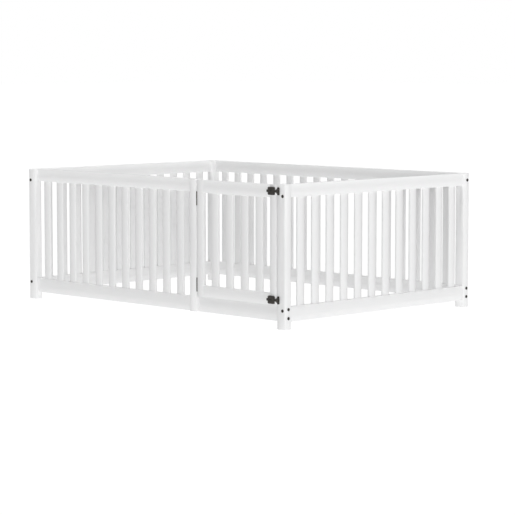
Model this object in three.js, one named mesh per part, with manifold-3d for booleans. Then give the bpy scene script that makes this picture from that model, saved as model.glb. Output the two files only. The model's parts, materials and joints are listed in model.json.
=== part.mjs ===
// A rectangular pet playpen of white painted wood, with a slatted gate at the right end of its front.
// Millimetres, +Z up, +Y towards the back. The origin is on the floor, under the middle of the pen.
import * as THREE from 'three';
import { mergeVertices } from 'three/addons/utils/BufferGeometryUtils.js';
import Module from 'manifold-3d';

const wasm = await Module();
wasm.setup();

// Overall size over the corner posts.
const PEN_LENGTH = 1818;
const PEN_DEPTH = 1294;
const PEN_HEIGHT = 660;
const GAP = 0.3; // between pieces that touch

// Posts, rails and slats.
const POST_X = 50;
const POST_Y = 40;
const RAIL_THICKNESS = 20;
const SIDE_RAIL_THICKNESS = 22;
const TOP_RAIL_Z = [600, 660];
const BOTTOM_RAIL_Z = [35, 105];
const FRONT_SETBACK = 17; // front rails behind the face of the front posts
const BACK_SETBACK = 4; // back rails in front of the back faces of the back posts
const SIDE_SETBACK = 4; // side rails inside the outer side faces of the posts
const SLAT_WIDTH = 45;
const SLAT_THICKNESS = 12;
const LET_IN = 10; // how deep a slat's end goes into its rail
const TENON_LENGTH = 15;
const TENON_THICKNESS = 10;
const TENON_SHOULDER = 12; // rail height left above and below a tenon
const FRONT_SLATS = 11;
const SIDE_SLATS = 12;
const BACK_SLATS = 17;
const FRONT_END_GAPS = [44, 67]; // before the first slat and after the last
const BACK_END_GAPS = [42, 55];

// Gate and its jamb post; the hinge line is measured from the pen's left end.
const HINGE_FROM_LEFT = 1239;
const HINGE_GAP = 7;
const JAMB_WIDTH = 44;
const GATE_WIDTH = 520;
const GATE_THICKNESS = 20;
const GATE_Z = [108, 657];
const STILE_WIDTH = 41.5;
const GATE_TOP_RAIL = 60;
const GATE_BOTTOM_RAIL = 55;
const GATE_RAIL_SETBACK = 1; // gate rails behind the face of the stiles
const GATE_SLATS = 4;

// Butt hinges, with their knuckles in the gap beside the gate.
const HINGE_CENTRES_Z = { upper: 569, lower: 163.5 };
const HINGE_HEIGHT = 64;
const HINGE_INSET = 2; // pin behind the face of the gate
const KNUCKLE_RADIUS = 2.2;
const KNUCKLE_BORE = 1.4;
const PIN_RADIUS = 1.15;
const PIN_HEAD_RADIUS = 2;
const PIN_HEAD_HEIGHT = 1.5;
const LEAF_THICKNESS = 1.2;
const LEAF_DEPTH = 15;
const LEAF_CLEAR = 3.2; // leaf plate to pin centre, clear of the other leaf's knuckles

// Slide latches: a flat bolt in a shallow case on the gate, and a keeper on the front right post.
const LATCH_CENTRES_Z = { upper: 627, lower: 133 };
const CASE_FROM_LEFT = 1715.5;
const CASE_WIDTH = 38.5;
const CASE_HEIGHT = 36;
const CASE_DEPTH = 8;
const CORNER_CUT = 4;
const BOLT_FROM_LEFT = 1706;
const BOLT_LENGTH = 62.5;
const BOLT_HEIGHT = 12;
const BOLT_THICKNESS = 4;
const BOLT_INSET = 2.3; // back of the bolt in front of the gate's face
const BOLT_TRAVEL = 12;
const THUMB_RADIUS = 3.5;
const THUMB_STEM_RADIUS = 2;
const THUMB_HEIGHT = 5;
const THUMB_FROM_LEFT = 1728;
const KEEPER_FROM_LEFT = 1769.5;
const KEEPER_WIDTH = 14;
const KEEPER_WAIST = 20; // height of the keeper's bridge over the bolt
const SLIDE_CLEARANCE = 0.4;

// Connector bolts with low domed heads, through the corner posts into the ends of the rails.
const HEAD_RADIUS = 7.5;
const HEAD_HEIGHT = 3.5;
const SHANK_RADIUS = 2.5;
const HOLE_RADIUS = 2.8;
const THREAD_DEPTH = 30; // shank length beyond the post
const BOLT_ROUND_STEPS = 16;
const END_BOLTS_Z = { low: 51.5, middle: 92.7, top: 626 }; // along X, into the long rails
const FACE_BOLTS_Z = { low: 86.5, top: 605 }; // along Y, into the side rails
const FRONT_END_BOLT_Y = 22.5; // behind the front faces of the front posts
const BACK_END_BOLT_Y = 14; // in front of the back faces of the back posts
const FACE_BOLT_X = 15; // from the outer side faces of the posts

const LEFT = -PEN_LENGTH / 2;
const RIGHT = PEN_LENGTH / 2;
const FRONT = -PEN_DEPTH / 2;
const BACK = PEN_DEPTH / 2;
const HINGE_X = LEFT + HINGE_FROM_LEFT;
const GATE_X = [HINGE_X + HINGE_GAP / 2, HINGE_X + HINGE_GAP / 2 + GATE_WIDTH];
const JAMB_X = [HINGE_X - HINGE_GAP / 2 - JAMB_WIDTH, HINGE_X - HINGE_GAP / 2];
const LATCH_PROUD = CASE_DEPTH + GAP + THUMB_HEIGHT;

const whitePaint = new THREE.MeshStandardMaterial({ color: 0xf2f1ef, roughness: 0.45, metalness: 0 });
const blackSteel = new THREE.MeshStandardMaterial({ color: 0x3a3632, roughness: 0.5, metalness: 0.6 });

const playpen = new THREE.Group();
const gate = new THREE.Group();

// ---------------------------------------------------------------------------------------------
// Solids and meshes

function solid(geometry) {
  const bare = geometry.clone();
  bare.deleteAttribute('normal');
  bare.deleteAttribute('uv');
  const merged = mergeVertices(bare);
  return new wasm.Manifold(new wasm.Mesh({
    numProp: 3,
    vertProperties: merged.attributes.position.array,
    triVerts: new Uint32Array(merged.index.array),
  }));
}

function geometryOf(body) {
  const mesh = body.getMesh();
  const geometry = new THREE.BufferGeometry();
  geometry.setAttribute('position', new THREE.BufferAttribute(new Float32Array(mesh.vertProperties), 3));
  geometry.setIndex(new THREE.BufferAttribute(new Uint32Array(mesh.triVerts), 1));
  const flat = geometry.toNonIndexed();
  flat.computeVertexNormals();
  return flat;
}

function boxSolid(low, high) {
  const size = high.map((value, axis) => value - low[axis]);
  const middle = high.map((value, axis) => (value + low[axis]) / 2);
  return solid(new THREE.BoxGeometry(...size).translate(...middle));
}

// A cylinder from the point start, running length along +X, +Y or +Z.
function rodSolid(start, axis, length, radius, steps) {
  const rod = new THREE.CylinderGeometry(radius, radius, length, steps).translate(0, length / 2, 0);
  if (axis === 'x') rod.rotateZ(-Math.PI / 2);
  if (axis === 'z') rod.rotateX(Math.PI / 2);
  return solid(rod.translate(...start));
}

// Adds a mesh whose own origin is at the middle of its box.
function addMesh(parent, name, material, geometry) {
  geometry.computeBoundingBox();
  const middle = geometry.boundingBox.getCenter(new THREE.Vector3());
  const mesh = new THREE.Mesh(geometry.translate(-middle.x, -middle.y, -middle.z), material);
  mesh.name = name;
  mesh.position.copy(middle);
  parent.add(mesh);
}

function addBody(parent, name, material, body) {
  addMesh(parent, name, material, geometryOf(body));
}

function subtractAll(body, cutters) {
  return cutters.reduce((rest, cutter) => rest.subtract(cutter), body);
}

// ---------------------------------------------------------------------------------------------
// Slats, let into a rail above and a rail below. A run is a row of evenly spaced slats between two
// uprights, along X or Y, with the slats centred on the line at. Unless the run gives its own end
// gaps, these are the same as the gaps between the slats.

function slatBoxes({ along, from, to, count, endGaps, at, z }) {
  const open = to - from - count * SLAT_WIDTH;
  const even = open / (count + 1);
  const [first, last] = endGaps ?? [even, even];
  const space = (open - first - last) / (count - 1);
  return Array.from({ length: count }, (_, index) => {
    const start = from + first + index * (SLAT_WIDTH + space);
    const length = [start, start + SLAT_WIDTH];
    const thickness = [at - SLAT_THICKNESS / 2, at + SLAT_THICKNESS / 2];
    const [x, y] = along === 'x' ? [length, thickness] : [thickness, length];
    return {
      low: [x[0], y[0], z[0] - LET_IN],
      high: [x[1], y[1], z[1] + LET_IN],
    };
  });
}

// The mortises that a run's slats need, with clearance on every side.
function mortises(run) {
  return slatBoxes(run).map(({ low, high }) => boxSolid(
    low.map((value) => value - GAP),
    high.map((value) => value + GAP),
  ));
}

function addSlats(parent, prefix, run) {
  slatBoxes(run).forEach(({ low, high }, index) => {
    const number = String(index + 1).padStart(2, '0');
    addBody(parent, `${prefix}_${number}`, whitePaint, boxSolid(low, high));
  });
}

// ---------------------------------------------------------------------------------------------
// Connector bolts. side is +1 or -1: the direction, along axis, from the pen towards the head.

const connectorBolts = [];

for (const [side, x, end] of [[-1, LEFT, 'left'], [1, RIGHT, 'right']]) {
  for (const [y, face] of [[FRONT + FRONT_END_BOLT_Y, 'front'], [BACK - BACK_END_BOLT_Y, 'back']]) {
    for (const [place, z] of Object.entries(END_BOLTS_Z)) {
      const topRailEndsHere = !(face === 'front' && end === 'right');
      if (place !== 'top' || topRailEndsHere) {
        connectorBolts.push({
          name: `${face}_${end}_end_bolt_${place}`, post: `${face}_${end}`, axis: 'x', side, head: [x, y, z],
        });
      }
    }
  }
  for (const [place, z] of Object.entries(FACE_BOLTS_Z)) {
    const head = [x - side * FACE_BOLT_X, FRONT, z];
    connectorBolts.push({
      name: `front_${end}_face_bolt_${place}`, post: `front_${end}`, axis: 'y', side: -1, head,
    });
  }
}

// The hole for a bolt's shank, from outside the post to just past the bolt's end.
function boltHole({ axis, side, head }) {
  const reach = (axis === 'x' ? POST_X : POST_Y) + THREAD_DEPTH + 1;
  const start = [...head];
  const index = axis === 'x' ? 0 : 1;
  start[index] = side > 0 ? head[index] - reach : head[index] - 1;
  return rodSolid(start, axis, reach + 1, HOLE_RADIUS, BOLT_ROUND_STEPS);
}

function holesNear(posts) {
  return connectorBolts.filter(({ post }) => posts.includes(post)).map(boltHole);
}

// A domed head and a plain shank, turned about the bolt's axis.
function boltGeometry(shankLength) {
  const dome = new THREE.QuadraticBezierCurve(
    new THREE.Vector2(HEAD_RADIUS, 1.2),
    new THREE.Vector2(HEAD_RADIUS * 0.85, HEAD_HEIGHT),
    new THREE.Vector2(0, HEAD_HEIGHT),
  );
  const profile = [
    new THREE.Vector2(0, -shankLength),
    new THREE.Vector2(SHANK_RADIUS, -shankLength),
    new THREE.Vector2(SHANK_RADIUS, 0),
    new THREE.Vector2(HEAD_RADIUS, 0),
    ...dome.getPoints(3),
  ];
  profile[profile.length - 1].x = 0;
  return new THREE.LatheGeometry(profile, BOLT_ROUND_STEPS);
}

function addConnectorBolts() {
  for (const { name, axis, side, head } of connectorBolts) {
    const shankLength = (axis === 'x' ? POST_X : POST_Y) + THREAD_DEPTH;
    const geometry = boltGeometry(shankLength);
    if (axis === 'x') geometry.rotateZ(side * -Math.PI / 2);
    if (axis === 'y' && side < 0) geometry.rotateZ(Math.PI);
    const centre = [...head];
    centre[axis === 'x' ? 0 : 1] += side * GAP;
    addBody(playpen, name, blackSteel, solid(geometry.translate(...centre)));
  }
}

// ---------------------------------------------------------------------------------------------
// Rails between two uprights. A tenon at an end goes into a mortise in the upright there.

function tenonBox({ x, y, z }, end, clearance) {
  const middle = (y[0] + y[1]) / 2;
  const half = TENON_THICKNESS / 2 + clearance;
  const reach = TENON_LENGTH + clearance;
  const sides = end === 'right' ? [x[1], x[1] + reach] : [x[0] - reach, x[0]];
  return boxSolid(
    [sides[0] - (end === 'right' ? 1 : 0), middle - half, z[0] + TENON_SHOULDER - clearance],
    [sides[1] + (end === 'right' ? 0 : 1), middle + half, z[1] - TENON_SHOULDER + clearance],
  );
}

// A rail from one upright to the next, kept clear of both by the gap.
function railBody(rail, cutters) {
  const { x, y, z, tenons = [] } = rail;
  const shorten = rail.along === 'y' ? [0, GAP] : [GAP, 0];
  let body = boxSolid(
    [x[0] + shorten[0], y[0] + shorten[1], z[0]],
    [x[1] - shorten[0], y[1] - shorten[1], z[1]],
  );
  for (const end of tenons) {
    body = body.add(tenonBox(rail, end, 0));
  }
  return subtractAll(body, cutters);
}

function mortisesFor(rails, end) {
  return rails.filter(({ tenons = [] }) => tenons.includes(end)).map((rail) => tenonBox(rail, end, GAP));
}

const INNER_LEFT = LEFT + POST_X;
const INNER_RIGHT = RIGHT - POST_X;
const FRONT_RAIL_Y = [FRONT + FRONT_SETBACK, FRONT + FRONT_SETBACK + RAIL_THICKNESS];
const BACK_RAIL_Y = [BACK - BACK_SETBACK - RAIL_THICKNESS, BACK - BACK_SETBACK];
const SIDE_Y = [FRONT + POST_Y, BACK - POST_Y];
const OPEN_Z = [BOTTOM_RAIL_Z[1], TOP_RAIL_Z[0]];

const frontRails = {
  top: { x: [INNER_LEFT, JAMB_X[0]], y: FRONT_RAIL_Y, z: TOP_RAIL_Z, tenons: ['right'] },
  bottom: { x: [INNER_LEFT, JAMB_X[0]], y: FRONT_RAIL_Y, z: BOTTOM_RAIL_Z, tenons: ['right'] },
  sill: { x: [JAMB_X[1], INNER_RIGHT], y: FRONT_RAIL_Y, z: BOTTOM_RAIL_Z, tenons: ['left'] },
};
const frontRun = {
  along: 'x', from: INNER_LEFT, to: JAMB_X[0], count: FRONT_SLATS, endGaps: FRONT_END_GAPS,
  at: (FRONT_RAIL_Y[0] + FRONT_RAIL_Y[1]) / 2, z: OPEN_Z,
};
const backRun = {
  along: 'x', from: INNER_LEFT, to: INNER_RIGHT, count: BACK_SLATS, endGaps: BACK_END_GAPS,
  at: (BACK_RAIL_Y[0] + BACK_RAIL_Y[1]) / 2, z: OPEN_Z,
};

// ---------------------------------------------------------------------------------------------
// Posts

function addPosts() {
  for (const [end, x] of [['left', [LEFT, INNER_LEFT]], ['right', [INNER_RIGHT, RIGHT]]]) {
    for (const [face, y] of [['front', [FRONT, SIDE_Y[0]]], ['back', [SIDE_Y[1], BACK]]]) {
      const body = boxSolid([x[0], y[0], 0], [x[1], y[1], PEN_HEIGHT]);
      const holes = holesNear([`${face}_${end}`]);
      addBody(playpen, `${face}_${end}_post`, whitePaint, subtractAll(body, holes));
    }
  }
  const jamb = boxSolid([JAMB_X[0], FRONT, BOTTOM_RAIL_Z[0]], [JAMB_X[1], SIDE_Y[0], PEN_HEIGHT]);
  const pockets = [
    ...mortisesFor(Object.values(frontRails), 'right'),
    ...mortisesFor(Object.values(frontRails), 'left'),
  ];
  addBody(playpen, 'gate_jamb_post', whitePaint, subtractAll(jamb, pockets));
}

// ---------------------------------------------------------------------------------------------
// Front, back and side panels. The slats of the back and of the two sides are glued into their
// bottom rails, and each such rail is one piece with its slats.

function addFrontPanel() {
  const holes = holesNear(['front_left']);
  const pockets = mortises(frontRun);
  addBody(playpen, 'front_top_rail', whitePaint, railBody(frontRails.top, [...holes, ...pockets]));
  addBody(playpen, 'front_bottom_rail', whitePaint, railBody(frontRails.bottom, [...holes, ...pockets]));
  addBody(playpen, 'gate_sill_rail', whitePaint, railBody(frontRails.sill, holesNear(['front_right'])));
  addSlats(playpen, 'front_slat', frontRun);
}

function addGluedPanel(name, rail, run, holes) {
  const topRail = railBody({ ...rail, z: TOP_RAIL_Z }, [...holes, ...mortises(run)]);
  let slatted = railBody({ ...rail, z: BOTTOM_RAIL_Z }, holes);
  for (const { low, high } of slatBoxes(run)) {
    slatted = slatted.add(boxSolid(low, high));
  }
  addBody(playpen, `${name}_top_rail`, whitePaint, topRail);
  addBody(playpen, `${name}_slatted_bottom_rail`, whitePaint, slatted);
}

function addSideAndBackPanels() {
  const backRail = { x: [INNER_LEFT, INNER_RIGHT], y: BACK_RAIL_Y };
  addGluedPanel('back', backRail, backRun, holesNear(['back_left', 'back_right']));
  const sides = {
    left: [LEFT + SIDE_SETBACK, LEFT + SIDE_SETBACK + SIDE_RAIL_THICKNESS],
    right: [RIGHT - SIDE_SETBACK - SIDE_RAIL_THICKNESS, RIGHT - SIDE_SETBACK],
  };
  for (const [name, x] of Object.entries(sides)) {
    const run = {
      along: 'y', from: SIDE_Y[0], to: SIDE_Y[1], count: SIDE_SLATS, at: (x[0] + x[1]) / 2, z: OPEN_Z,
    };
    addGluedPanel(name, { along: 'y', x, y: SIDE_Y }, run, holesNear([`front_${name}`]));
  }
}

// ---------------------------------------------------------------------------------------------
// Gate frame: two stiles, two rails tenoned into them, and four slats

function addGateFrame() {
  const inner = [GATE_X[0] + STILE_WIDTH, GATE_X[1] - STILE_WIDTH];
  const stileY = [FRONT, FRONT + GATE_THICKNESS];
  const railY = [FRONT + GATE_RAIL_SETBACK, FRONT + GATE_THICKNESS - GATE_RAIL_SETBACK];
  const tenons = ['left', 'right'];
  const topRail = { x: inner, y: railY, z: [GATE_Z[1] - GATE_TOP_RAIL, GATE_Z[1]], tenons };
  const bottomRail = { x: inner, y: railY, z: [GATE_Z[0], GATE_Z[0] + GATE_BOTTOM_RAIL], tenons };
  const run = {
    along: 'x', from: inner[0], to: inner[1], count: GATE_SLATS,
    at: (railY[0] + railY[1]) / 2, z: [bottomRail.z[1], topRail.z[0]],
  };
  const hingeStile = boxSolid([GATE_X[0], stileY[0], GATE_Z[0]], [inner[0], stileY[1], GATE_Z[1]]);
  const latchStile = boxSolid([inner[1], stileY[0], GATE_Z[0]], [GATE_X[1], stileY[1], GATE_Z[1]]);
  const rails = [topRail, bottomRail];
  addBody(gate, 'gate_hinge_stile', whitePaint, subtractAll(hingeStile, mortisesFor(rails, 'left')));
  addBody(gate, 'gate_latch_stile', whitePaint, subtractAll(latchStile, mortisesFor(rails, 'right')));
  addBody(gate, 'gate_top_rail', whitePaint, railBody(topRail, mortises(run)));
  addBody(gate, 'gate_bottom_rail', whitePaint, railBody(bottomRail, mortises(run)));
  addSlats(gate, 'gate_slat', run);
}

// ---------------------------------------------------------------------------------------------
// Hinges: a leaf with two knuckles on the post, a leaf with one knuckle on the gate, and a pin

function hingeLeaf(centreZ, towards, knuckles) {
  const pinY = FRONT + HINGE_INSET;
  const outer = HINGE_X + towards * (HINGE_GAP / 2 - GAP);
  const inner = outer - towards * LEAF_THICKNESS;
  const x = [Math.min(outer, inner), Math.max(outer, inner)];
  const z = [centreZ - HINGE_HEIGHT / 2, centreZ + HINGE_HEIGHT / 2];
  let leaf = boxSolid([x[0], pinY + LEAF_CLEAR, z[0]], [x[1], pinY + LEAF_DEPTH, z[1]]);
  for (const [low, high] of knuckles) {
    const start = [HINGE_X, pinY, low];
    const wrap = [Math.min(HINGE_X, outer), Math.max(HINGE_X, outer)];
    leaf = leaf.add(rodSolid(start, 'z', high - low, KNUCKLE_RADIUS, BOLT_ROUND_STEPS));
    leaf = leaf.add(boxSolid([wrap[0], pinY, low], [wrap[1], pinY + LEAF_THICKNESS, high]));
    leaf = leaf.add(boxSolid([x[0], pinY, low], [x[1], pinY + LEAF_CLEAR + 1, high]));
  }
  return leaf.subtract(rodSolid([HINGE_X, pinY, z[0] - 1], 'z', HINGE_HEIGHT + 2, KNUCKLE_BORE, 12));
}

function addHinge(name, centreZ) {
  const third = HINGE_HEIGHT / 3;
  const low = centreZ - HINGE_HEIGHT / 2;
  const high = centreZ + HINGE_HEIGHT / 2;
  const outerKnuckles = [[low, low + third - GAP], [high - third + GAP, high]];
  const middleKnuckle = [[low + third, high - third]];
  addBody(playpen, `${name}_hinge_post_leaf`, blackSteel, hingeLeaf(centreZ, -1, outerKnuckles));
  addBody(gate, `${name}_hinge_gate_leaf`, blackSteel, hingeLeaf(centreZ, 1, middleKnuckle));
  const pinStart = [HINGE_X, FRONT + HINGE_INSET, low];
  const headStart = [HINGE_X, FRONT + HINGE_INSET, high + GAP];
  const pin = rodSolid(pinStart, 'z', HINGE_HEIGHT + GAP + 1, PIN_RADIUS, 12);
  const pinHead = rodSolid(headStart, 'z', PIN_HEAD_HEIGHT, PIN_HEAD_RADIUS, BOLT_ROUND_STEPS);
  addBody(playpen, `${name}_hinge_pin`, blackSteel, pin.add(pinHead));
}

// ---------------------------------------------------------------------------------------------
// Latches. Plates and cases are extruded forwards, away from the wood behind them.

function platePoints(width, height, cut) {
  const [w, h] = [width / 2, height / 2];
  return [[-w + cut, -h], [w - cut, -h], [w, -h + cut], [w, h - cut], [w - cut, h], [-w + cut, h],
    [-w, h - cut], [-w, -h + cut]];
}

// An outline in X and Z, extruded from the face of the posts and gate towards the front.
function plateSolid(points, centreX, centreZ, depth) {
  const outline = new THREE.Shape(points.map(([x, z]) => new THREE.Vector2(x, z)));
  const plate = new THREE.ExtrudeGeometry(outline, { depth, bevelEnabled: false });
  plate.rotateX(Math.PI / 2);
  return solid(plate.translate(centreX, FRONT - GAP, centreZ));
}

function boltChannel(x, centreZ) {
  const half = BOLT_HEIGHT / 2 + SLIDE_CLEARANCE;
  const back = FRONT - BOLT_INSET + SLIDE_CLEARANCE;
  const front = FRONT - BOLT_INSET - BOLT_THICKNESS - SLIDE_CLEARANCE;
  return boxSolid([x[0] - 1, front, centreZ - half], [x[1] + 1, back, centreZ + half]);
}

function addLatch(name, centreZ) {
  const caseX = [LEFT + CASE_FROM_LEFT, LEFT + CASE_FROM_LEFT + CASE_WIDTH];
  const caseCentre = (caseX[0] + caseX[1]) / 2;
  const thumbX = LEFT + THUMB_FROM_LEFT;
  const slotHalf = THUMB_STEM_RADIUS + SLIDE_CLEARANCE;
  const slot = boxSolid(
    [thumbX - slotHalf, FRONT - CASE_DEPTH - 1, centreZ - slotHalf],
    [thumbX + slotHalf + BOLT_TRAVEL, FRONT - BOLT_INSET, centreZ + slotHalf],
  );
  const shell = plateSolid(platePoints(CASE_WIDTH, CASE_HEIGHT, CORNER_CUT), caseCentre, centreZ, CASE_DEPTH);
  addBody(gate, `${name}_latch_case`, blackSteel, subtractAll(shell, [boltChannel(caseX, centreZ), slot]));

  const boltX = [LEFT + BOLT_FROM_LEFT, LEFT + BOLT_FROM_LEFT + BOLT_LENGTH];
  const bar = boxSolid(
    [boltX[0], FRONT - BOLT_INSET - BOLT_THICKNESS, centreZ - BOLT_HEIGHT / 2],
    [boltX[1], FRONT - BOLT_INSET, centreZ + BOLT_HEIGHT / 2],
  );
  const stemStart = [thumbX, FRONT - CASE_DEPTH - GAP - 1, centreZ];
  const stemLength = CASE_DEPTH + GAP + 1 - BOLT_INSET - BOLT_THICKNESS / 2;
  const stem = rodSolid(stemStart, 'y', stemLength, THUMB_STEM_RADIUS, BOLT_ROUND_STEPS);
  const thumbStart = [thumbX, FRONT - LATCH_PROUD, centreZ];
  const thumb = rodSolid(thumbStart, 'y', THUMB_HEIGHT - GAP, THUMB_RADIUS, BOLT_ROUND_STEPS);
  addBody(gate, `${name}_latch_bolt`, blackSteel, bar.add(stem).add(thumb));

  const keeperX = [LEFT + KEEPER_FROM_LEFT, LEFT + KEEPER_FROM_LEFT + KEEPER_WIDTH];
  const keeperCentre = (keeperX[0] + keeperX[1]) / 2;
  const foot = plateSolid(platePoints(KEEPER_WIDTH, CASE_HEIGHT, CORNER_CUT), keeperCentre, centreZ, BOLT_INSET);
  const bridge = plateSolid(platePoints(KEEPER_WIDTH, KEEPER_WAIST, 2), keeperCentre, centreZ, CASE_DEPTH);
  const keeper = foot.add(bridge).subtract(boltChannel(keeperX, centreZ));
  addBody(playpen, `${name}_latch_keeper`, blackSteel, keeper);
}

// ---------------------------------------------------------------------------------------------

addPosts();
addFrontPanel();
addSideAndBackPanels();
addConnectorBolts();
addGateFrame();
for (const [name, z] of Object.entries(HINGE_CENTRES_Z)) {
  addHinge(name, z);
}
for (const [name, z] of Object.entries(LATCH_CENTRES_Z)) {
  addLatch(name, z);
}

// The latches stand proud of the front, so the middle of the whole box is a little forward of the
// middle of the posts.
playpen.add(gate);
playpen.position.y = LATCH_PROUD / 2;

export default playpen;
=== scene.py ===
"""The white wooden pet playpen: eased and painted boards, black hinges, latches and connector bolts."""

import json
import math

import bmesh
import bpy
from mathutils import Matrix, Vector


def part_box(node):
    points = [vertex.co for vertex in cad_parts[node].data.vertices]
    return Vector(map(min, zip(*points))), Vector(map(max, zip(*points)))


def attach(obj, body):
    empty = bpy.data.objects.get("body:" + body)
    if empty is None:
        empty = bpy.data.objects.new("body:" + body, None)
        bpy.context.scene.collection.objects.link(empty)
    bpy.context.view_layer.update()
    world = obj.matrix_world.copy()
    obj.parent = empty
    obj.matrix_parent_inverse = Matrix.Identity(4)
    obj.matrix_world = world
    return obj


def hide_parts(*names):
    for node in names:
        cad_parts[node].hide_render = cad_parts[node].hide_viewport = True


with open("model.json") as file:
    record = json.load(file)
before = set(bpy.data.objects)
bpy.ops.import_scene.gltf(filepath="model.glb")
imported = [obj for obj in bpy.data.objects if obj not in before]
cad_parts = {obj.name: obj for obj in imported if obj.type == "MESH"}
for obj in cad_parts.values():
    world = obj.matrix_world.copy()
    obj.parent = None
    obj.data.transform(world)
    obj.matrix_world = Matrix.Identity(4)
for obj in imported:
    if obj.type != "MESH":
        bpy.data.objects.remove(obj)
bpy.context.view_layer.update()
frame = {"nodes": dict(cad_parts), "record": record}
MM = 0.001

# How the boards are made and finished.
EASED_EDGE = 2.0 * MM
SLAT_EDGE = 1.8 * MM
FIT_GAP = 0.3 * MM
SLAT_WIDTH = 45 * MM
LET_IN = 10 * MM
SIDE_SLATS = 12
BACK_SLATS = 17
BACK_END_GAPS = (42 * MM, 55 * MM)
BORE_RADIUS = 2.8 * MM
BORE_SPARE = 2 * MM

# How meshes are cleaned and shaded. An edge sharper than an angle in degrees stays crisp.
MERGE_DISTANCE = 1e-6
SHORTEST_EDGE = 1e-5
FLAT_ANGLE = math.radians(0.5)
SLIVER_AREA = 1e-9
BOARD_SHARP_FROM = 60
HARDWARE_SHARP_FROM = 32

# How many steps go round a curve.
ROUND_STEPS = 24
SMALL_ROUND_STEPS = 16
CORNER_STEPS = 4
RIM_STEPS = 3

# Connector bolts.
HEAD_HEIGHT = 3.5 * MM
BOLT_SOCKET = 5 * MM
SOCKET_DEPTH = 2.2 * MM

# Screws, in millimetres: their heads, and the slots of the cross recess.
HINGE_SCREW_RADIUS = 2.5
HINGE_SCREW_SUNK = 0.1
LATCH_SCREW_RADIUS = 2.4
LATCH_SCREW_PROUD = 0.7
SLOT_HALF_WIDTH = 0.32
SLOT_DEPTH = 0.55
SLOT_REACH = 0.62  # as a part of the head's radius

# Hinges. The screws are placed by parts of the hinge's height.
HINGE_SCREWS = 3
FIRST_SCREW = 0.16
SCREW_SPACING = 0.34
LEAF_THICKNESS = 1.2 * MM
LEAF_CLEAR = 3.2 * MM
LEAF_CORNER = 2 * MM
KNUCKLE_RADIUS = 2.2 * MM
KNUCKLE_EDGE = 0.25 * MM
KNUCKLE_BORE = 1.4 * MM
PIN_RADIUS = 1.15 * MM
SCREW_LINE = 9.5 * MM

# Latches.
CASE_CORNER = 4.5 * MM
CASE_RIM = 1.4 * MM
BOLT_INSET = 2.3 * MM
BOLT_THICKNESS = 4 * MM
BOLT_HALF_HEIGHT = 6 * MM
BOLT_CORNER = 3.0 * MM
BOLT_RIM = 0.6 * MM
BOLT_TRAVEL = 12 * MM
SLIDE_GAP = 0.4 * MM
STEM_RADIUS = 2 * MM
THUMB_FROM_END = 22 * MM
SLOT_ROUNDNESS = 0.98  # the radius of its ends, as a part of half its height
SCREW_INSET = 5.5 * MM
KEEPER_WAIST = 20 * MM
KEEPER_FOOT = 2 * MM
KEEPER_SCREW_INSET = 4 * MM
FOOT_CORNER = 4 * MM
WAIST_CORNER = 2 * MM

# The paint and the black finishes: light and dark tones, and how much noise is stretched along a board.
PAINT_TONES = ((0.852, 0.853, 0.856), (0.866, 0.866, 0.866))
GRAIN_TONES = ((0.985, 0.985, 0.984), (1.0, 1.0, 1.0))
GRAIN_STRETCH = 0.045
COAT_TONE = (0.038, 0.034, 0.029)
OXIDE_TONE = (0.034, 0.030, 0.026)

# The camera, a long lens a long way off, turned 45 degrees round the pen.
LENS = 149.9
SENSOR = 36
AZIMUTH = 45
PITCH = 5.43
DISTANCE = 10.7717
AIM = (0.02854, 0.06529, 0.2241)
CLIP_END = 100

# The light. Each lamp has its azimuth and elevation in degrees, its width in degrees and its strength.
DOME_LIGHT = 0.17
LAMPS = {
    "overhead_light": (0, 89, 12, 2.2),
    "key_light": (45, 5, 16, 1.1),
    "right_light": (105, 15, 50, 0.58),
}
FLOOR_SIZE = 60
FLOOR_TONE = 0.05
FLOOR_ROUGHNESS = 0.9
FLOOR_GLOW = 0.965

bodies = frame["record"]["behaviour"]["bodies"]
body_of_node = {node: body for body, nodes in bodies.items() for node in nodes}


# ----------------------------------------------------------------------------------------------
# Mesh helpers

def new_piece(name, bm, material, slot, body, *replaced, sharp_from=BOARD_SHARP_FROM):
    """Turns a bmesh, in the CAD frame, into a finished piece that rides on a CAD body.

    The shading is smooth except over edges sharper than sharp_from, in degrees, and beside slivers.
    """
    mesh = bpy.data.meshes.new(name)
    bmesh.ops.recalc_face_normals(bm, faces=bm.faces)
    bm.normal_update()
    for face in bm.faces:
        face.smooth = True
    for edge in bm.edges:
        sliver = any(face.calc_area() < SLIVER_AREA for face in edge.link_faces)
        edge.smooth = not sliver and edge.calc_face_angle(math.pi) < math.radians(sharp_from)
    bm.to_mesh(mesh)
    bm.free()
    piece = bpy.data.objects.new(name, mesh)
    bpy.context.collection.objects.link(piece)
    mesh.materials.append(material)
    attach(piece, body)
    if replaced:
        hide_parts(*replaced)


def box_bmesh(low, high, edge=0.0, axis=None, steps=1):
    """A box whose edges are eased: all of them, or only those along one axis (0, 1 or 2)."""
    bm = bmesh.new()
    bmesh.ops.create_cube(bm, size=1)
    size = Vector(high) - Vector(low)
    middle = (Vector(high) + Vector(low)) / 2
    bmesh.ops.transform(bm, matrix=Matrix.Translation(middle) @ Matrix.Diagonal((*size, 1)), verts=bm.verts)
    if edge:
        edges = bm.edges
        if axis is not None:
            edges = [e for e in bm.edges if abs((e.verts[0].co - e.verts[1].co)[axis]) > size[axis] / 2]
        bmesh.ops.bevel(bm, geom=list(edges), offset=edge, segments=steps, profile=0.5, affect="EDGES",
                        clamp_overlap=True)
    return bm


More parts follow.
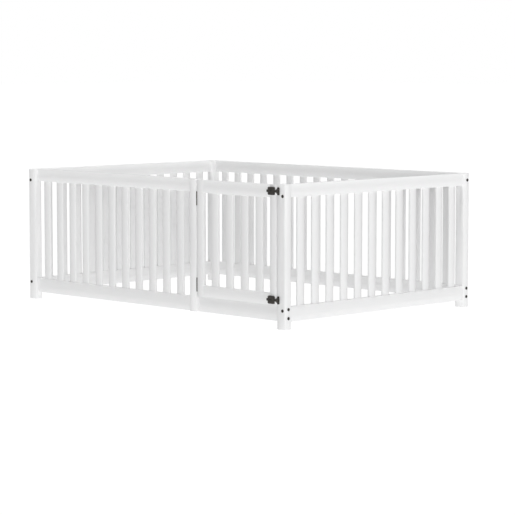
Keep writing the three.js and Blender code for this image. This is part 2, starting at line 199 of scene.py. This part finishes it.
def combine(bm, other, operation):
    """A clean boolean of two bmeshes, both of which are used up."""
    holders = []
    for source in (bm, other):
        mesh = bpy.data.meshes.new("part")
        bmesh.ops.recalc_face_normals(source, faces=source.faces)
        source.to_mesh(mesh)
        source.free()
        holder = bpy.data.objects.new("part", mesh)
        bpy.context.collection.objects.link(holder)
        holders.append(holder)
    cut = holders[0].modifiers.new("cut", "BOOLEAN")
    cut.operation = operation
    cut.solver = "EXACT"
    cut.object = holders[1]
    evaluated = holders[0].evaluated_get(bpy.context.evaluated_depsgraph_get())
    result = bmesh.new()
    result.from_mesh(evaluated.to_mesh())
    for holder in holders:
        bpy.data.meshes.remove(holder.data)
    bmesh.ops.remove_doubles(result, verts=result.verts, dist=MERGE_DISTANCE)
    bmesh.ops.dissolve_degenerate(result, dist=SHORTEST_EDGE, edges=result.edges)
    bmesh.ops.dissolve_limit(result, angle_limit=FLAT_ANGLE, verts=result.verts, edges=result.edges)
    return result


# ----------------------------------------------------------------------------------------------
# Materials

class Nodes:
    """A small helper that adds and links the nodes of one material."""

    def __init__(self, name):
        self.material = bpy.data.materials.new(name)
        self.material.use_nodes = True
        self.tree = self.material.node_tree
        self.shader = self.tree.nodes["Principled BSDF"]

    def add(self, kind, inputs=(), **settings):
        node = self.tree.nodes.new(kind)
        for key, value in settings.items():
            setattr(node, key, value)
        for key, value in dict(inputs).items():
            if hasattr(value, "is_linked"):
                self.tree.links.new(value, node.inputs[key])
            else:
                node.inputs[key].default_value = value
        return node

    def link(self, output, socket):
        self.tree.links.new(output, self.shader.inputs[socket])

    def ramp(self, factor, *stops):
        """A colour ramp from (position, colour) stops."""
        node = self.add("ShaderNodeValToRGB", {"Fac": factor})
        elements = node.color_ramp.elements
        while len(elements) < len(stops):
            elements.new(0.5)
        for element, (position, colour) in zip(elements, stops):
            element.position = position
            element.color = (*colour, 1)
        return node.outputs["Color"]

    def bump(self, *heights):
        """Bumps laid one on another, each as (height, distance, strength)."""
        normal = None
        for height, distance, strength in heights:
            inputs = {"Height": height, "Distance": distance, "Strength": strength}
            if normal is not None:
                inputs["Normal"] = normal
            normal = self.add("ShaderNodeBump", inputs).outputs["Normal"]
        self.link(normal, "Normal")


def white_paint(name, grain_axis):
    """Satin white paint on wood: a faint grain along the board, roller texture, slightly uneven tone."""
    nodes = Nodes(name)
    place = nodes.add("ShaderNodeTexCoord").outputs["Object"]
    stretch = [1.0, 1.0, 1.0]
    stretch[grain_axis] = GRAIN_STRETCH
    along = nodes.add("ShaderNodeMapping", {"Vector": place, "Scale": stretch}).outputs["Vector"]
    grain = nodes.add("ShaderNodeTexNoise", {
        "Vector": along, "Scale": 260.0, "Detail": 5.0, "Roughness": 0.6,
    })
    figure = nodes.add("ShaderNodeTexNoise", {
        "Vector": along, "Scale": 38.0, "Detail": 3.0, "Distortion": 0.6,
    })
    roller = nodes.add("ShaderNodeTexNoise", {"Vector": place, "Scale": 900.0, "Detail": 2.0})
    cloud = nodes.add("ShaderNodeTexNoise", {"Vector": place, "Scale": 5.0, "Detail": 2.0})
    tone = nodes.ramp(cloud.outputs["Fac"], (0.3, PAINT_TONES[0]), (0.7, PAINT_TONES[1]))
    lines = nodes.ramp(grain.outputs["Fac"], (0.25, GRAIN_TONES[0]), (0.6, GRAIN_TONES[1]))
    mixed = nodes.add("ShaderNodeMix", data_type="RGBA", blend_type="MULTIPLY")
    mixed.inputs[0].default_value = 1.0
    nodes.tree.links.new(tone, mixed.inputs[6])
    nodes.tree.links.new(lines, mixed.inputs[7])
    nodes.link(mixed.outputs[2], "Base Color")
    gloss = nodes.add("ShaderNodeMapRange", {"Value": figure.outputs["Fac"], "To Min": 0.38, "To Max": 0.5})
    nodes.link(gloss.outputs["Result"], "Roughness")
    nodes.shader.inputs["Specular IOR Level"].default_value = 0.45
    nodes.bump((figure.outputs["Fac"], 0.0006, 0.04), (grain.outputs["Fac"], 0.0004, 0.12),
               (roller.outputs["Fac"], 0.0002, 0.2))
    return nodes.material


def black_metal(name, base, roughness, speckle):
    """Black coated steel: a fine orange-peel coat, with faint worn patches that are a little glossier."""
    nodes = Nodes(name)
    place = nodes.add("ShaderNodeTexCoord").outputs["Object"]
    peel = nodes.add("ShaderNodeTexNoise", {"Vector": place, "Scale": speckle, "Detail": 3.0})
    wear = nodes.add("ShaderNodeTexNoise", {"Vector": place, "Scale": 90.0, "Detail": 4.0})
    lighter = tuple(value * 1.35 for value in base)
    nodes.link(nodes.ramp(wear.outputs["Fac"], (0.4, base), (0.75, lighter)), "Base Color")
    gloss = nodes.add("ShaderNodeMapRange", {
        "Value": wear.outputs["Fac"], "From Min": 0.3, "From Max": 0.7,
        "To Min": roughness + 0.06, "To Max": roughness - 0.06,
    })
    nodes.link(gloss.outputs["Result"], "Roughness")
    nodes.shader.inputs["Metallic"].default_value = 0.35
    nodes.bump((peel.outputs["Fac"], 0.0002, 0.25), (wear.outputs["Fac"], 0.0003, 0.08))
    return nodes.material


PAINT = [white_paint(f"white_paint_along_{letter}", axis) for axis, letter in enumerate("xyz")]
BLACK_COAT = black_metal("black_coat", COAT_TONE, 0.42, 2500.0)
BLACK_OXIDE = black_metal("black_oxide", OXIDE_TONE, 0.36, 3500.0)


# ----------------------------------------------------------------------------------------------
# Boards. The rails, the stiles and the jamb post keep their exact CAD solids, with their holes, mortises
# and tenons, and get eased edges: the solid is intersected with a box whose edges are eased. The corner
# posts, the slats and the slatted bottom rails are made afresh.

def cad_bmesh(node):
    """A copy of a CAD solid."""
    bm = bmesh.new()
    bm.from_mesh(frame["nodes"][node].data)
    bmesh.ops.remove_doubles(bm, verts=bm.verts, dist=MERGE_DISTANCE)
    return bm


def long_axis(low, high):
    """The axis, 0, 1 or 2, along which a box is longest."""
    size = [b - a for a, b in zip(low, high)]
    return size.index(max(size))


def eased_board(node, all_edges=False):
    """The board that stands for a CAD node, eased along its length, or all round."""
    low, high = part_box(node)
    axis = long_axis(low, high)
    outer = box_bmesh(low, high, EASED_EDGE, None if all_edges else axis)
    board = combine(cad_bmesh(node), outer, "INTERSECT")
    new_piece(node + "_board", board, PAINT[axis], "white_paint", body_of_node[node], node)


def post(node):
    """A corner post: an eased box, bored for its connector bolts."""
    low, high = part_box(node)
    board = box_bmesh(low, high, EASED_EDGE)
    for other in sorted(frame["nodes"]):
        if other.startswith(node.replace("_post", "_")) and "_bolt_" in other:
            bolt_low, bolt_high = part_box(other)
            axis = long_axis(bolt_low, bolt_high)
            out = Vector((0, 0, 0))
            out[axis] = 1
            reach = (bolt_high - bolt_low)[axis] / 2 + BORE_SPARE
            bore = rod(BORE_RADIUS, -reach, reach, SMALL_ROUND_STEPS)
            board = combine(board, placed(bore, (bolt_low + bolt_high) / 2, out), "DIFFERENCE")
    new_piece(node + "_board", board, PAINT[2], "white_paint", body_of_node[node], node)


def slat(name, low, high, body, node):
    """One slat, with the edges along its length eased."""
    axis = long_axis(low, high)
    new_piece(name, box_bmesh(low, high, SLAT_EDGE, axis), PAINT[axis], "white_paint", body, node)


def slatted_rail(node, along, count, end_gaps=None):
    """A bottom rail and its glued-in slats, as the separate boards that they are."""
    low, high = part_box(node)
    rail_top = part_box("front_bottom_rail")[1].z
    middle = (low + high) / 2
    front_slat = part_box("front_slat_01")
    half_thick = (front_slat[1].y - front_slat[0].y) / 2
    across = 1 - along
    clear = high[along] - low[along] - count * SLAT_WIDTH
    first, last = end_gaps or (clear / (count + 1),) * 2
    space = (clear - first - last) / (count - 1)
    rail = box_bmesh(low, (high.x, high.y, rail_top), EASED_EDGE, along)
    slats = []
    for index in range(count):
        start = low[along] + first + index * (SLAT_WIDTH + space)
        corner, far = Vector(low), Vector(high)
        corner[along], far[along] = start, start + SLAT_WIDTH
        corner[across], far[across] = middle[across] - half_thick, middle[across] + half_thick
        corner.z = rail_top - LET_IN
        slats.append((corner, far))
    pockets = bmesh.new()
    gap = Vector((FIT_GAP,) * 3)
    for corner, far in slats:
        pocket = box_bmesh(corner - gap, far + gap)
        mesh = bpy.data.meshes.new("pocket")
        pocket.to_mesh(mesh)
        pocket.free()
        pockets.from_mesh(mesh)
        bpy.data.meshes.remove(mesh)
    rail = combine(rail, pockets, "DIFFERENCE")
    body = body_of_node[node]
    new_piece(node + "_board", rail, PAINT[along], "white_paint", body, node)
    side = node.split("_")[0]
    for index, (corner, far) in enumerate(slats):
        slat(f"{side}_slat_{index + 1:02d}", corner, far, body, node)


def make_boards():
    for node in sorted(frame["nodes"]):
        if node == "gate_jamb_post":
            eased_board(node, all_edges=True)
        elif node.endswith("_post"):
            post(node)
        elif node.endswith("_slatted_bottom_rail"):
            if node.startswith("back"):
                slatted_rail(node, 0, BACK_SLATS, BACK_END_GAPS)
            else:
                slatted_rail(node, 1, SIDE_SLATS)
        elif "_slat_" in node:
            slat(node + "_board", *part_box(node), body_of_node[node], node)
        elif node.endswith(("_rail", "_stile")):
            eased_board(node)


# ----------------------------------------------------------------------------------------------
# Hardware

def in_mm(profile):
    """A profile that is written in millimetres, in metres."""
    return [(radius * MM, height * MM) for radius, height in profile]


def turned(profile, steps=ROUND_STEPS):
    """A solid of revolution about +Z from (radius, height) points, the first and last on the axis."""
    bm = bmesh.new()
    rings = []
    for radius, height in profile:
        if radius == 0:
            rings.append([bm.verts.new((0, 0, height))])
            continue
        angles = [2 * math.pi * step / steps for step in range(steps)]
        rings.append([bm.verts.new((radius * math.cos(a), radius * math.sin(a), height)) for a in angles])
    for lower, upper in zip(rings, rings[1:]):
        for step in range(steps):
            after = (step + 1) % steps
            corners = [lower[step % len(lower)], lower[after % len(lower)],
                       upper[after % len(upper)], upper[step % len(upper)]]
            corners = [v for place, v in enumerate(corners) if v not in corners[:place]]
            if len(corners) > 2:
                bm.faces.new(corners)
    bmesh.ops.recalc_face_normals(bm, faces=bm.faces)
    return bm


def rod(radius, low, high, steps=ROUND_STEPS):
    """A plain cylinder along Z."""
    return turned([(0, low), (radius, low), (radius, high), (0, high)], steps)


def placed(bm, middle, towards_head=(0, 0, 1)):
    """Turns +Z to a new direction and moves the origin to a point."""
    turn = Vector((0, 0, 1)).rotation_difference(Vector(towards_head)).to_matrix().to_4x4()
    bmesh.ops.transform(bm, matrix=Matrix.Translation(middle) @ turn, verts=bm.verts)
    return bm


def hexagon(across_flats, low, high):
    """A hexagonal prism along Z."""
    return rod(across_flats / math.sqrt(3), low, high, 6)


def hardware(name, bm, material, slot, body, *replaced):
    """A finished metal piece, with crisper edges than a board's."""
    new_piece(name, bm, material, slot, body, *replaced, sharp_from=HARDWARE_SHARP_FROM)


def bolt_bmesh(shank_length):
    """A connector bolt: a shank, whose length is in millimetres, and a low domed head with a socket."""
    shank = [(0, 0)]
    if shank_length:
        shank = [(0, -shank_length), (1.9, -shank_length), (2.5, 0.8 - shank_length), (2.5, 0)]
    dome = [(6.9, 0), (7.4, 0.3), (7.5, 0.9), (7.35, 1.5), (6.8, 2.15), (5.9, 2.75), (4.8, 3.2),
            (3.8, 3.45), (0, 3.5)]
    socket = hexagon(BOLT_SOCKET, HEAD_HEIGHT - SOCKET_DEPTH, HEAD_HEIGHT + MM)
    return combine(turned(in_mm(shank + dome)), socket, "DIFFERENCE")


def make_connector_bolts():
    """The bolts that hold the sides together, through the corner posts."""
    shapes = {}
    for node in sorted(frame["nodes"]):
        if "_end_bolt_" not in node and "_face_bolt_" not in node:
            continue
        low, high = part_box(node)
        axis = long_axis(low, high)
        side = -1 if axis == 1 or "_left_" in node else 1
        out = Vector((0, 0, 0))
        out[axis] = side
        under_head = (low + high) / 2
        under_head[axis] = (high if side > 0 else low)[axis] - side * HEAD_HEIGHT
        length = high[axis] - low[axis] - HEAD_HEIGHT
        key = round(length / MM)
        if key not in shapes:
            shapes[key] = bolt_bmesh(key)
        bolt = placed(shapes[key].copy(), under_head, out)
        hardware(node + "_turned", bolt, BLACK_OXIDE, "black_bolt", "pen", node)
    # The back posts carry the same bolts on their back faces, seen only as heads.
    head = bolt_bmesh(0)
    for end in ("left", "right"):
        for place in ("low", "top"):
            low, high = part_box(f"front_{end}_face_bolt_{place}")
            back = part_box(f"back_{end}_post")[1].y
            middle = Vector(((low.x + high.x) / 2, back + FIT_GAP, (low.z + high.z) / 2))
            hardware(f"back_{end}_face_bolt_head_{place}", placed(head.copy(), middle, (0, 1, 0)),
                     BLACK_OXIDE, "black_bolt", "pen")
    for bm in (head, *shapes.values()):
        bm.free()


def screw_bmesh(radius, proud):
    """The head of a wood screw with a cross recess: countersunk below, slightly domed above.

    The radius of the head and how far it stands proud are in millimetres.
    """
    profile = [(0, -1.0), (radius * 0.45, -1.0), (radius, -0.15), (radius, 0.0),
               (radius * 0.85, proud * 0.55), (radius * 0.5, proud * 0.9), (0, proud)]
    bm = turned(in_mm(profile), SMALL_ROUND_STEPS)
    reach = radius * SLOT_REACH * MM
    width = SLOT_HALF_WIDTH * MM
    depth = (proud - SLOT_DEPTH) * MM
    above = 3 * MM
    cross = box_bmesh((-reach, -width, depth), (reach, width, above))
    cross = combine(cross, box_bmesh((-width, -reach, depth), (width, reach, above)), "UNION")
    return combine(bm, cross, "DIFFERENCE")


def make_hinge(name):
    """A butt hinge: two leaves let into the edges of the jamb and the gate, three screws in each."""
    post_low, post_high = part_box(f"{name}_hinge_post_leaf")
    gate_low, gate_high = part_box(f"{name}_hinge_gate_leaf")
    pin_low, pin_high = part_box(f"{name}_hinge_pin")
    x, y = (pin_low.x + pin_high.x) / 2, (pin_low.y + pin_high.y) / 2
    bottom, top = post_low.z, post_high.z
    third = (top - bottom) / 3
    half_gap = FIT_GAP / 2
    outer_knuckles = [(bottom, bottom + third - half_gap), (top - third + half_gap, top)]
    middle_knuckle = [(bottom + third + half_gap, top - third - half_gap)]
    leaves = {
        "post": (-1, post_low, post_high, outer_knuckles, "pen"),
        "gate": (1, gate_low, gate_high, middle_knuckle, "gate"),
    }
    for leaf, (side, low, high, knuckles, body) in leaves.items():
        outer = low.x if side < 0 else high.x
        inner = outer - side * LEAF_THICKNESS
        near, far = min(outer, inner), max(outer, inner)
        plate = box_bmesh((near, y + LEAF_CLEAR, bottom), (far, high.y, top), LEAF_CORNER, 0, CORNER_STEPS)
        for start, end in knuckles:
            knuckle = [(0, start), (KNUCKLE_RADIUS - KNUCKLE_EDGE, start),
                       (KNUCKLE_RADIUS, start + KNUCKLE_EDGE), (KNUCKLE_RADIUS, end - KNUCKLE_EDGE),
                       (KNUCKLE_RADIUS - KNUCKLE_EDGE, end), (0, end)]
            plate = combine(plate, placed(turned(knuckle), (x, y, 0)), "UNION")
            plate = combine(plate, box_bmesh((near, y, start), (far, y + LEAF_CLEAR + MM, end)), "UNION")
            wrap = box_bmesh((min(x, outer), y, start), (max(x, outer), y + LEAF_THICKNESS, end))
            plate = combine(plate, wrap, "UNION")
        bore = rod(KNUCKLE_BORE, bottom - MM, top + MM)
        plate = combine(plate, placed(bore, (x, y, 0)), "DIFFERENCE")
        screws = []
        for step in range(HINGE_SCREWS):
            height = bottom + (top - bottom) * (FIRST_SCREW + SCREW_SPACING * step)
            place = Vector((inner, y + SCREW_LINE, height))
            sink = in_mm([(0, -2), (1.5, -2), (1.5, -1.2), (2.75, 0.0), (2.75, 1), (0, 1)])
            sink = turned(sink, SMALL_ROUND_STEPS)
            plate = combine(plate, placed(sink, place, (-side, 0, 0)), "DIFFERENCE")
            screws.append(place)
        node = f"{name}_hinge_{leaf}_leaf"
        hardware(node + "_plate", plate, BLACK_COAT, "black_hardware", body, node)
        for step, place in enumerate(screws):
            seat = place + Vector((side * HINGE_SCREW_SUNK * MM, 0, 0))
            head = placed(screw_bmesh(HINGE_SCREW_RADIUS, 0.0), seat, (-side, 0, 0))
            hardware(f"{node}_screw_{step + 1}", head, BLACK_OXIDE, "black_hardware", body, node)
    under_head = top + FIT_GAP
    pin = [(0, pin_low.z), (0.8 * MM, pin_low.z), (PIN_RADIUS, pin_low.z + 0.4 * MM),
           (PIN_RADIUS, under_head), (1.8 * MM, under_head), (2.0 * MM, under_head + 0.3 * MM),
           (1.85 * MM, pin_high.z - 0.55 * MM), (1.3 * MM, pin_high.z - 0.15 * MM), (0, pin_high.z)]
    node = f"{name}_hinge_pin"
    hardware(node + "_turned", placed(turned(pin), (x, y, 0)), BLACK_COAT, "black_hardware", "pen", node)


def rounded_outline(low, high, radius):
    """The outline, in X and Z, of a rectangle with rounded corners."""
    points = []
    for x, z, start in ((high.x - radius, low.z + radius, -90), (high.x - radius, high.z - radius, 0),
                        (low.x + radius, high.z - radius, 90), (low.x + radius, low.z + radius, 180)):
        for step in range(CORNER_STEPS + 1):
            a = math.radians(start + 90 * step / CORNER_STEPS)
            points.append((x + radius * math.cos(a), z + radius * math.sin(a)))
    return points


def plate_bmesh(low, high, radius, rim=0.0):
    """A plate with rounded corners, facing -Y, whose front rim may be rounded."""
    bm = bmesh.new()
    back = [bm.verts.new((x, high.y, z)) for x, z in rounded_outline(low, high, radius)]
    made = bmesh.ops.extrude_face_region(bm, geom=[bm.faces.new(back)])
    front = [item for item in made["geom"] if isinstance(item, bmesh.types.BMVert)]
    bmesh.ops.translate(bm, vec=(0, low.y - high.y, 0), verts=front)
    if not any(set(face.verts) == set(back) for face in bm.faces):
        bm.faces.new(back)
    bmesh.ops.recalc_face_normals(bm, faces=bm.faces)
    if rim:
        edges = [edge for edge in bm.edges if all(vert in front for vert in edge.verts)]
        bmesh.ops.bevel(bm, geom=edges, offset=rim, segments=RIM_STEPS, profile=0.5, affect="EDGES")
    return bm


def make_latch(name):
    """A slide latch: a screwed case round a flat bolt with a thumb knob, and a keeper on the post."""
    case_low, case_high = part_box(f"{name}_latch_case")
    bolt_low, bolt_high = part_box(f"{name}_latch_bolt")
    keep_low, keep_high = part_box(f"{name}_latch_keeper")
    wood = case_high.y + FIT_GAP
    middle = (case_low.z + case_high.z) / 2
    bar_back = wood - BOLT_INSET
    bar_front = bar_back - BOLT_THICKNESS

    def channel(low, high):
        """The slot, right through a plate, that the bolt slides in."""
        half = BOLT_HALF_HEIGHT + SLIDE_GAP
        return box_bmesh((low.x - MM, bar_front - SLIDE_GAP, middle - half),
                         (high.x + MM, bar_back + SLIDE_GAP, middle + half))

    def screws(node, places, front, body):
        """A screw in each of the holes."""
        for step, (x, z) in enumerate(places):
            screw = screw_bmesh(LATCH_SCREW_RADIUS, LATCH_SCREW_PROUD)
            head = placed(screw, (x, front, z), (0, -1, 0))
            hardware(f"{node}_screw_{step + 1}", head, BLACK_OXIDE, "black_hardware", body, node)

    def sunk(bm, places, front):
        """The plate with a countersunk hole at each place."""
        for x, z in places:
            sink = turned(in_mm([(0, -1.3), (1.5, -1.3), (2.6, 0), (2.6, 2), (0, 2)]), SMALL_ROUND_STEPS)
            bm = combine(bm, placed(sink, (x, front, z), (0, -1, 0)), "DIFFERENCE")
        return bm

    shell = plate_bmesh(case_low, case_high, CASE_CORNER, CASE_RIM)
    shell = combine(shell, channel(case_low, case_high), "DIFFERENCE")
    thumb = Vector((bolt_low.x + THUMB_FROM_END, 0, middle))
    half = STEM_RADIUS + SLIDE_GAP
    slot_low = Vector((thumb.x - half, case_low.y - MM, middle - half))
    slot_high = Vector((thumb.x + half + BOLT_TRAVEL, bar_back, middle + half))
    shell = combine(shell, plate_bmesh(slot_low, slot_high, half * SLOT_ROUNDNESS), "DIFFERENCE")
    corners = [(x, z) for x in (case_low.x + SCREW_INSET, case_high.x - SCREW_INSET)
               for z in (case_low.z + SCREW_INSET, case_high.z - SCREW_INSET)]
    shell = sunk(shell, corners, case_low.y)
    node = f"{name}_latch_case"
    hardware(node + "_shell", shell, BLACK_COAT, "black_hardware", "gate", node)
    screws(node, corners, case_low.y, "gate")

    bar_low = Vector((bolt_low.x, bar_front, middle - BOLT_HALF_HEIGHT))
    bar_high = Vector((bolt_high.x, bar_back, middle + BOLT_HALF_HEIGHT))
    bar = plate_bmesh(bar_low, bar_high, BOLT_CORNER, BOLT_RIM)
    knob_top = bar_front - bolt_low.y
    stem = [(0, -MM), (STEM_RADIUS, -MM), (STEM_RADIUS, knob_top - 4.7 * MM)]
    cap = [(3.1, -4.7), (3.5, -4.2), (3.1, -2.6), (3.5, -1.0), (3.2, -0.35), (2.4, 0), (0, -0.15)]
    knob = turned(stem + [(radius, knob_top + height) for radius, height in in_mm(cap)])
    bar = combine(bar, placed(knob, (thumb.x, bar_front, middle), (0, -1, 0)), "UNION")
    node = f"{name}_latch_bolt"
    hardware(node + "_bar", bar, BLACK_COAT, "black_hardware", body_of_node[node], node)

    foot_low = Vector((keep_low.x, keep_high.y - KEEPER_FOOT, keep_low.z))
    waist_low = Vector((keep_low.x, keep_low.y, middle - KEEPER_WAIST / 2))
    waist_high = Vector((keep_high.x, keep_high.y, middle + KEEPER_WAIST / 2))
    keeper = combine(plate_bmesh(foot_low, keep_high, FOOT_CORNER, BOLT_RIM),
                     plate_bmesh(waist_low, waist_high, WAIST_CORNER, CASE_RIM), "UNION")
    keeper = combine(keeper, channel(keep_low, keep_high), "DIFFERENCE")
    ends = [((keep_low.x + keep_high.x) / 2, z)
            for z in (keep_low.z + KEEPER_SCREW_INSET, keep_high.z - KEEPER_SCREW_INSET)]
    keeper = sunk(keeper, ends, foot_low.y)
    node = f"{name}_latch_keeper"
    hardware(node + "_bridge", keeper, BLACK_COAT, "black_hardware", "pen", node)
    screws(node, ends, foot_low.y, "pen")


# ----------------------------------------------------------------------------------------------
# Floor, light and camera

def towards(azimuth, elevation):
    """The direction from the pen towards a light or the camera, both angles in degrees."""
    a, e = math.radians(azimuth), math.radians(elevation)
    return Vector((math.sin(a) * math.cos(e), -math.cos(a) * math.cos(e), math.sin(e)))


def make_floor():
    """A plain floor that glows a little, so that it is as pale as the backdrop."""
    bm = bmesh.new()
    bmesh.ops.create_grid(bm, x_segments=1, y_segments=1, size=FLOOR_SIZE)
    mesh = bpy.data.meshes.new("floor")
    bm.to_mesh(mesh)
    bm.free()
    floor = bpy.data.objects.new("floor", mesh)
    bpy.context.collection.objects.link(floor)
    nodes = Nodes("pale_floor")
    nodes.shader.inputs["Base Color"].default_value = (FLOOR_TONE, FLOOR_TONE, FLOOR_TONE, 1)
    nodes.shader.inputs["Roughness"].default_value = FLOOR_ROUGHNESS
    nodes.shader.inputs["Emission Color"].default_value = (1, 1, 1, 1)
    nodes.shader.inputs["Emission Strength"].default_value = FLOOR_GLOW
    mesh.materials.append(nodes.material)


def make_light():
    """A dim dome, a lamp overhead, a key light from the camera's direction and a wide one at the right."""
    world = bpy.data.worlds.new("studio")
    bpy.context.scene.world = world
    world.use_nodes = True
    tree = world.node_tree
    dome = tree.nodes["Background"]
    dome.inputs["Strength"].default_value = DOME_LIGHT
    dome.inputs["Color"].default_value = (1, 1, 1, 1)
    backdrop = tree.nodes.new("ShaderNodeBackground")
    backdrop.inputs["Color"].default_value = (1, 1, 1, 1)
    seen = tree.nodes.new("ShaderNodeLightPath")
    mix = tree.nodes.new("ShaderNodeMixShader")
    tree.links.new(seen.outputs["Is Camera Ray"], mix.inputs["Fac"])
    tree.links.new(dome.outputs["Background"], mix.inputs[1])
    tree.links.new(backdrop.outputs["Background"], mix.inputs[2])
    tree.links.new(mix.outputs["Shader"], tree.nodes["World Output"].inputs["Surface"])
    for name, (azimuth, elevation, width, strength) in LAMPS.items():
        data = bpy.data.lights.new(name, "SUN")
        data.energy = strength
        data.angle = math.radians(width)
        light = bpy.data.objects.new(name, data)
        light.rotation_mode = "QUATERNION"
        light.rotation_quaternion = (-towards(azimuth, elevation)).to_track_quat("-Z", "Y")
        bpy.context.collection.objects.link(light)


def make_camera():
    """The camera, which looks at the pen from its front right corner."""
    data = bpy.data.cameras.new("camera")
    data.lens = LENS
    data.sensor_width = SENSOR
    data.clip_end = CLIP_END
    camera = bpy.data.objects.new("camera", data)
    bpy.context.collection.objects.link(camera)
    back = towards(AZIMUTH, PITCH)
    camera.location = Vector(AIM) + back * DISTANCE
    camera.rotation_mode = "QUATERNION"
    camera.rotation_quaternion = (-back).to_track_quat("-Z", "Y")
    bpy.context.scene.camera = camera


make_boards()
make_connector_bolts()
for end in ("upper", "lower"):
    make_hinge(end)
    make_latch(end)
make_floor()
make_light()
make_camera()
bpy.context.scene.view_settings.view_transform = "Standard"

bpy.context.view_layer.update()
